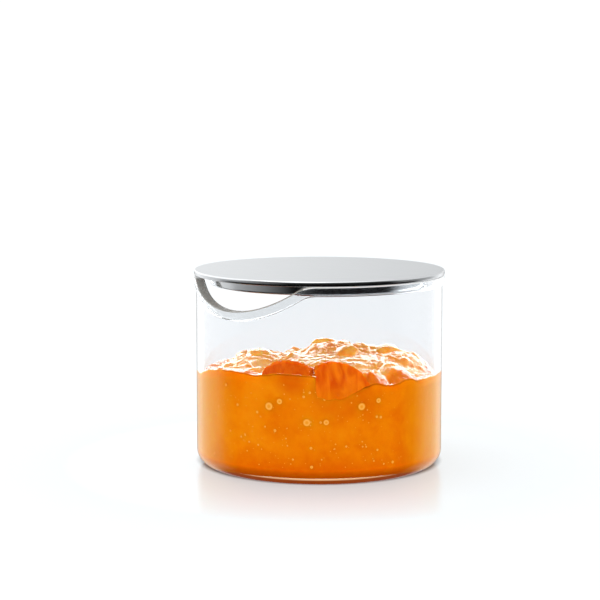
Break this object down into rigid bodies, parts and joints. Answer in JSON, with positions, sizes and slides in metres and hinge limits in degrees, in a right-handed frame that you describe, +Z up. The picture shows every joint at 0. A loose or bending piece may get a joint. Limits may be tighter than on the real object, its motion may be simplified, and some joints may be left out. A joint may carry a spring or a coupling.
{
  "type": "jam pot",
  "caption": "Round clear glass jam pot with a spoon notch in its rim, a loose flat brushed-steel lid that lifts off, and a filling of orange fruit jam.",
  "frame": {"origin": "centre of the base, on the surface that the pot stands on", "axes": "+Z up through the lid, -Y through the middle of the spoon notch, +X to the right when facing the notch"},
  "size_m": [0.086, 0.086, 0.0673],
  "materials": {
    "clear_glass": "clear blown glass with a fire-polished rim",
    "lid_steel": "stainless steel, fine straight brushing on the top, bright edge",
    "insert_steel": "stainless steel, bright pressed skirt",
    "jam": "wet translucent orange jam with small bubbles",
    "fruit_flesh": "translucent red-orange cooked fruit",
    "fruit_slice": "glossy orange cooked fruit"
  },
  "bodies": {
    "pot": {"glass_pot": "clear_glass", "jam": "jam", "fruit_half": "fruit_flesh", "fruit_chunk": "fruit_flesh", "fruit_slice_1": "fruit_slice", "fruit_slice_2": "fruit_slice", "fruit_slice_3": "fruit_slice", "fruit_slice_4": "fruit_slice"},
    "lid": {"lid_cover": "lid_steel", "lid_insert": "insert_steel"}
  },
  "joints": [
    {"name": "lid_lift", "type": "slide", "parent": "pot", "child": "lid", "axis": [0, 0, 1], "range_m": [0, 0.06]}
  ]
}
